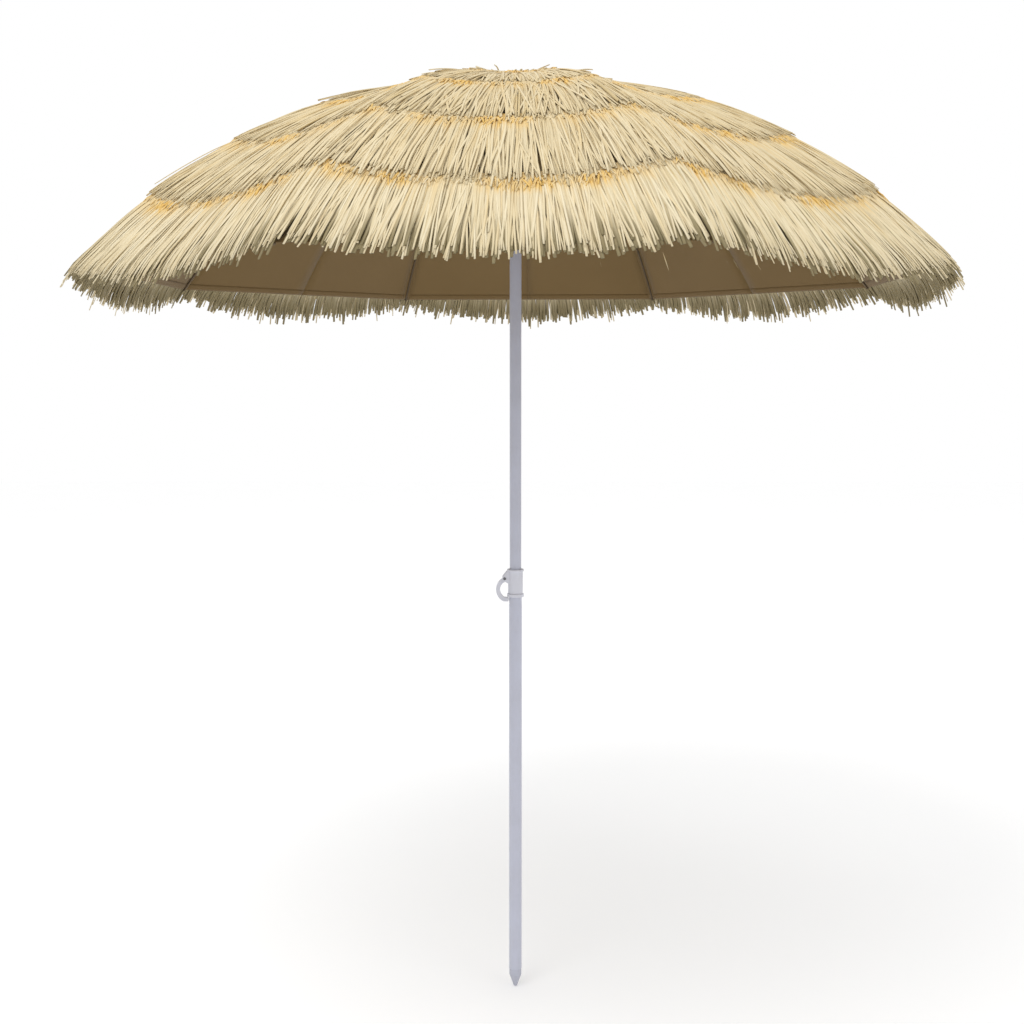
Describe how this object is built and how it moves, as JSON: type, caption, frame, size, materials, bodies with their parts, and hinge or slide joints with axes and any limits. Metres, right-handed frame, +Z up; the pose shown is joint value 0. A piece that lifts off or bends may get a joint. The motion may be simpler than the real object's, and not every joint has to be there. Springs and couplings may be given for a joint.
{
  "type": "beach umbrella",
  "caption": "Folding beach umbrella: raffia-fringed domed canopy on sprung ribs, telescoping white pole, clamp collar with lever, and ground spike.",
  "frame": {"origin": "tip of the ground spike, on the pole's axis", "axes": "+Z up along the pole; -Y is the front; the clamp lever is on -X"},
  "size_m": [1.6792, 1.6792, 1.99],
  "materials": {
    "pole_paint": "satin white powder coat",
    "white_plastic": "semi-gloss",
    "grey_plastic": "matte",
    "steel": "zinc plated",
    "rib_steel": "satin",
    "canopy_cloth": "plain weave",
    "raffia": "straw-like strands with sewn bands"
  },
  "bodies": {
    "lower_pole": {"lower_tube": "pole_paint", "ground_spike": "white_plastic", "height_collar": "white_plastic", "lever_pin": "steel"},
    "clamp_lever": {"clamp_lever": "white_plastic"},
    "upper_pole": {"upper_tube": "pole_paint", "crown_hub": "grey_plastic", "crown_wire": "steel", "crown_tuft": "raffia"},
    "runner_latch": {"runner_latch": "steel"},
    "runner": {"runner": "white_plastic", "runner_wire": "steel"},
    "rib_1": {"rib_1": "rib_steel"},
    "panel_1a": {"fabric_1a": "canopy_cloth", "fringe_1a": "raffia"},
    "panel_1b": {"fabric_1b": "canopy_cloth", "fringe_1b": "raffia"},
    "rib_2": {"rib_2": "rib_steel"},
    "panel_2a": {"fabric_2a": "canopy_cloth", "fringe_2a": "raffia"},
    "panel_2b": {"fabric_2b": "canopy_cloth", "fringe_2b": "raffia"},
    "rib_3": {"rib_3": "rib_steel"},
    "panel_3a": {"fabric_3a": "canopy_cloth", "fringe_3a": "raffia"},
    "panel_3b": {"fabric_3b": "canopy_cloth", "fringe_3b": "raffia"},
    "rib_4": {"rib_4": "rib_steel"},
    "panel_4a": {"fabric_4a": "canopy_cloth", "fringe_4a": "raffia"},
    "panel_4b": {"fabric_4b": "canopy_cloth", "fringe_4b": "raffia"},
    "rib_5": {"rib_5": "rib_steel"},
    "panel_5a": {"fabric_5a": "canopy_cloth", "fringe_5a": "raffia"},
    "panel_5b": {"fabric_5b": "canopy_cloth", "fringe_5b": "raffia"},
    "rib_6": {"rib_6": "rib_steel"},
    "panel_6a": {"fabric_6a": "canopy_cloth", "fringe_6a": "raffia"},
    "panel_6b": {"fabric_6b": "canopy_cloth", "fringe_6b": "raffia"},
    "rib_7": {"rib_7": "rib_steel"},
    "panel_7a": {"fabric_7a": "canopy_cloth", "fringe_7a": "raffia"},
    "panel_7b": {"fabric_7b": "canopy_cloth", "fringe_7b": "raffia"},
    "rib_8": {"rib_8": "rib_steel"},
    "panel_8a": {"fabric_8a": "canopy_cloth", "fringe_8a": "raffia"},
    "panel_8b": {"fabric_8b": "canopy_cloth", "fringe_8b": "raffia"},
    "stretcher_1": {"stretcher_1": "rib_steel"},
    "stretcher_2": {"stretcher_2": "rib_steel"},
    "stretcher_3": {"stretcher_3": "rib_steel"},
    "stretcher_4": {"stretcher_4": "rib_steel"},
    "stretcher_5": {"stretcher_5": "rib_steel"},
    "stretcher_6": {"stretcher_6": "rib_steel"},
    "stretcher_7": {"stretcher_7": "rib_steel"},
    "stretcher_8": {"stretcher_8": "rib_steel"}
  },
  "joints": [
    {"name": "lever_hinge", "type": "hinge", "parent": "lower_pole", "child": "clamp_lever", "pos_m": [-0.0235, 0, 0.924], "axis": [0, 1, 0], "range_deg": [0, 90]},
    {"name": "latch_press", "type": "slide", "parent": "upper_pole", "child": "runner_latch", "axis": [1, 0, 0], "range_m": [-0.0045, 0], "stiffness_N_per_m": 400, "springref_m": 0.002},
    {"name": "height_slide", "type": "slide", "parent": "lower_pole", "child": "upper_pole", "axis": [0, 0, 1], "range_m": [-0.3, 0]},
    {"name": "canopy_fold", "type": "hinge", "parent": "upper_pole", "child": "rib_1", "pos_m": [0.00747, -0.02069, 1.96529], "axis": [0.9406, 0.3396, 0], "range_deg": [0, 64.99], "deforming": ["fabric_1a", "fringe_1a", "fabric_1b", "fringe_1b", "rib_1", "fabric_2a", "fringe_2a", "fabric_2b", "fringe_2b", "rib_2", "fabric_3a", "fringe_3a", "fabric_3b", "fringe_3b", "rib_3", "fabric_4a", "fringe_4a", "fabric_4b", "fringe_4b", "rib_4", "fabric_5a", "fringe_5a", "fabric_5b", "fringe_5b", "rib_5", "fabric_6a", "fringe_6a", "fabric_6b", "fringe_6b", "rib_6", "fabric_7a", "fringe_7a", "fabric_7b", "fringe_7b", "rib_7", "fabric_8a", "fringe_8a", "fabric_8b", "fringe_8b", "rib_8", "runner_latch"]},
    {"name": "panel_1a_fold", "type": "hinge", "parent": "rib_1", "child": "panel_1a", "pos_m": [0.00747, -0.02069, 1.96529], "axis": [-0.3077, 0.8524, 0.4228], "range_deg": [-1, 67.5]},
    {"name": "panel_1b_fold", "type": "hinge", "parent": "rib_1", "child": "panel_1b", "pos_m": [0.00747, -0.02069, 1.96529], "axis": [0.3077, -0.8524, -0.4228], "range_deg": [-1, 67.5]},
    {"name": "rib_2_fold", "type": "hinge", "parent": "upper_pole", "child": "rib_2", "pos_m": [0.01991, -0.00935, 1.96529], "axis": [0.425, 0.9052, 0], "range_deg": [-1, 65.99]},
    {"name": "panel_2a_fold", "type": "hinge", "parent": "rib_2", "child": "panel_2a", "pos_m": [0.01991, -0.00935, 1.96529], "axis": [-0.8203, 0.3851, 0.4228], "range_deg": [-1, 67.5]},
    {"name": "panel_2b_fold", "type": "hinge", "parent": "rib_2", "child": "panel_2b", "pos_m": [0.01991, -0.00935, 1.96529], "axis": [0.8203, -0.3851, -0.4228], "range_deg": [-1, 67.5]},
    {"name": "rib_3_fold", "type": "hinge", "parent": "upper_pole", "child": "rib_3", "pos_m": [0.02069, 0.00747, 1.96529], "axis": [-0.3396, 0.9406, 0], "range_deg": [-1, 65.99]},
    {"name": "panel_3a_fold", "type": "hinge", "parent": "rib_3", "child": "panel_3a", "pos_m": [0.02069, 0.00747, 1.96529], "axis": [-0.8524, -0.3077, 0.4228], "range_deg": [-1, 67.5]},
    {"name": "panel_3b_fold", "type": "hinge", "parent": "rib_3", "child": "panel_3b", "pos_m": [0.02069, 0.00747, 1.96529], "axis": [0.8524, 0.3077, -0.4228], "range_deg": [-1, 67.5]},
    {"name": "rib_4_fold", "type": "hinge", "parent": "upper_pole", "child": "rib_4", "pos_m": [0.00935, 0.01991, 1.96529], "axis": [-0.9052, 0.425, 0], "range_deg": [-1, 65.99]},
    {"name": "panel_4a_fold", "type": "hinge", "parent": "rib_4", "child": "panel_4a", "pos_m": [0.00935, 0.01991, 1.96529], "axis": [-0.3851, -0.8203, 0.4228], "range_deg": [-1, 67.5]},
    {"name": "panel_4b_fold", "type": "hinge", "parent": "rib_4", "child": "panel_4b", "pos_m": [0.00935, 0.01991, 1.96529], "axis": [0.3851, 0.8203, -0.4228], "range_deg": [-1, 67.5]},
    {"name": "rib_5_fold", "type": "hinge", "parent": "upper_pole", "child": "rib_5", "pos_m": [-0.00747, 0.02069, 1.96529], "axis": [-0.9406, -0.3396, 0], "range_deg": [-1, 65.99]},
    {"name": "panel_5a_fold", "type": "hinge", "parent": "rib_5", "child": "panel_5a", "pos_m": [-0.00747, 0.02069, 1.96529], "axis": [0.3077, -0.8524, 0.4228], "range_deg": [-1, 67.5]},
    {"name": "panel_5b_fold", "type": "hinge", "parent": "rib_5", "child": "panel_5b", "pos_m": [-0.00747, 0.02069, 1.96529], "axis": [-0.3077, 0.8524, -0.4228], "range_deg": [-1, 67.5]},
    {"name": "rib_6_fold", "type": "hinge", "parent": "upper_pole", "child": "rib_6", "pos_m": [-0.01991, 0.00935, 1.96529], "axis": [-0.425, -0.9052, 0], "range_deg": [-1, 65.99]},
    {"name": "panel_6a_fold", "type": "hinge", "parent": "rib_6", "child": "panel_6a", "pos_m": [-0.01991, 0.00935, 1.96529], "axis": [0.8203, -0.3851, 0.4228], "range_deg": [-1, 67.5]},
    {"name": "panel_6b_fold", "type": "hinge", "parent": "rib_6", "child": "panel_6b", "pos_m": [-0.01991, 0.00935, 1.96529], "axis": [-0.8203, 0.3851, -0.4228], "range_deg": [-1, 67.5]},
    {"name": "rib_7_fold", "type": "hinge", "parent": "upper_pole", "child": "rib_7", "pos_m": [-0.02069, -0.00747, 1.96529], "axis": [0.3396, -0.9406, 0], "range_deg": [-1, 65.99]},
    {"name": "panel_7a_fold", "type": "hinge", "parent": "rib_7", "child": "panel_7a", "pos_m": [-0.02069, -0.00747, 1.96529], "axis": [0.8524, 0.3077, 0.4228], "range_deg": [-1, 67.5]},
    {"name": "panel_7b_fold", "type": "hinge", "parent": "rib_7", "child": "panel_7b", "pos_m": [-0.02069, -0.00747, 1.96529], "axis": [-0.8524, -0.3077, -0.4228], "range_deg": [-1, 67.5]},
    {"name": "rib_8_fold", "type": "hinge", "parent": "upper_pole", "child": "rib_8", "pos_m": [-0.00935, -0.01991, 1.96529], "axis": [0.9052, -0.425, 0], "range_deg": [-1, 65.99]},
    {"name": "panel_8a_fold", "type": "hinge", "parent": "rib_8", "child": "panel_8a", "pos_m": [-0.00935, -0.01991, 1.96529], "axis": [0.3851, 0.8203, 0.4228], "range_deg": [-1, 67.5]},
    {"name": "panel_8b_fold", "type": "hinge", "parent": "rib_8", "child": "panel_8b", "pos_m": [-0.00935, -0.01991, 1.96529], "axis": [-0.3851, -0.8203, -0.4228], "range_deg": [-1, 67.5]},
    {"name": "runner_slide", "type": "slide", "parent": "upper_pole", "child": "runner", "axis": [0, 0, 1], "range_m": [-0.4342, 0.002]},
    {"name": "stretcher_1_fold", "type": "hinge", "parent": "runner", "child": "stretcher_1", "pos_m": [0.00815, -0.02257, 1.77], "axis": [-0.9406, -0.3396, 0], "range_deg": [-1, 62.66]},
    {"name": "stretcher_2_fold", "type": "hinge", "parent": "runner", "child": "stretcher_2", "pos_m": [0.02173, -0.0102, 1.77], "axis": [-0.425, -0.9052, 0], "range_deg": [-1, 62.66]},
    {"name": "stretcher_3_fold", "type": "hinge", "parent": "runner", "child": "stretcher_3", "pos_m": [0.02257, 0.00815, 1.77], "axis": [0.3396, -0.9406, 0], "range_deg": [-1, 62.66]},
    {"name": "stretcher_4_fold", "type": "hinge", "parent": "runner", "child": "stretcher_4", "pos_m": [0.0102, 0.02173, 1.77], "axis": [0.9052, -0.425, 0], "range_deg": [-1, 62.66]},
    {"name": "stretcher_5_fold", "type": "hinge", "parent": "runner", "child": "stretcher_5", "pos_m": [-0.00815, 0.02257, 1.77], "axis": [0.9406, 0.3396, 0], "range_deg": [-1, 62.66]},
    {"name": "stretcher_6_fold", "type": "hinge", "parent": "runner", "child": "stretcher_6", "pos_m": [-0.02173, 0.0102, 1.77], "axis": [0.425, 0.9052, 0], "range_deg": [-1, 62.66]},
    {"name": "stretcher_7_fold", "type": "hinge", "parent": "runner", "child": "stretcher_7", "pos_m": [-0.02257, -0.00815, 1.77], "axis": [-0.3396, 0.9406, 0], "range_deg": [-1, 62.66]},
    {"name": "stretcher_8_fold", "type": "hinge", "parent": "runner", "child": "stretcher_8", "pos_m": [-0.0102, -0.02173, 1.77], "axis": [-0.9052, 0.425, 0], "range_deg": [-1, 62.66]}
  ],
  "couplings": [
    {"joint": "panel_1a_fold", "follows": "canopy_fold", "ratio": 1.0232},
    {"joint": "panel_1b_fold", "follows": "canopy_fold", "ratio": 1.0232},
    {"joint": "rib_2_fold", "follows": "canopy_fold", "ratio": 1},
    {"joint": "panel_2a_fold", "follows": "canopy_fold", "ratio": 1.0232},
    {"joint": "panel_2b_fold", "follows": "canopy_fold", "ratio": 1.0232},
    {"joint": "rib_3_fold", "follows": "canopy_fold", "ratio": 1},
    {"joint": "panel_3a_fold", "follows": "canopy_fold", "ratio": 1.0232},
    {"joint": "panel_3b_fold", "follows": "canopy_fold", "ratio": 1.0232},
    {"joint": "rib_4_fold", "follows": "canopy_fold", "ratio": 1},
    {"joint": "panel_4a_fold", "follows": "canopy_fold", "ratio": 1.0232},
    {"joint": "panel_4b_fold", "follows": "canopy_fold", "ratio": 1.0232},
    {"joint": "rib_5_fold", "follows": "canopy_fold", "ratio": 1},
    {"joint": "panel_5a_fold", "follows": "canopy_fold", "ratio": 1.0232},
    {"joint": "panel_5b_fold", "follows": "canopy_fold", "ratio": 1.0232},
    {"joint": "rib_6_fold", "follows": "canopy_fold", "ratio": 1},
    {"joint": "panel_6a_fold", "follows": "canopy_fold", "ratio": 1.0232},
    {"joint": "panel_6b_fold", "follows": "canopy_fold", "ratio": 1.0232},
    {"joint": "rib_7_fold", "follows": "canopy_fold", "ratio": 1},
    {"joint": "panel_7a_fold", "follows": "canopy_fold", "ratio": 1.0232},
    {"joint": "panel_7b_fold", "follows": "canopy_fold", "ratio": 1.0232},
    {"joint": "rib_8_fold", "follows": "canopy_fold", "ratio": 1},
    {"joint": "panel_8a_fold", "follows": "canopy_fold", "ratio": 1.0232},
    {"joint": "panel_8b_fold", "follows": "canopy_fold", "ratio": 1.0232},
    {"joint": "runner_slide", "follows": "canopy_fold", "m_per_rad": -0.38016},
    {"joint": "stretcher_1_fold", "follows": "canopy_fold", "ratio": 0.94882},
    {"joint": "stretcher_2_fold", "follows": "canopy_fold", "ratio": 0.94882},
    {"joint": "stretcher_3_fold", "follows": "canopy_fold", "ratio": 0.94882},
    {"joint": "stretcher_4_fold", "follows": "canopy_fold", "ratio": 0.94882},
    {"joint": "stretcher_5_fold", "follows": "canopy_fold", "ratio": 0.94882},
    {"joint": "stretcher_6_fold", "follows": "canopy_fold", "ratio": 0.94882},
    {"joint": "stretcher_7_fold", "follows": "canopy_fold", "ratio": 0.94882},
    {"joint": "stretcher_8_fold", "follows": "canopy_fold", "ratio": 0.94882}
  ]
}
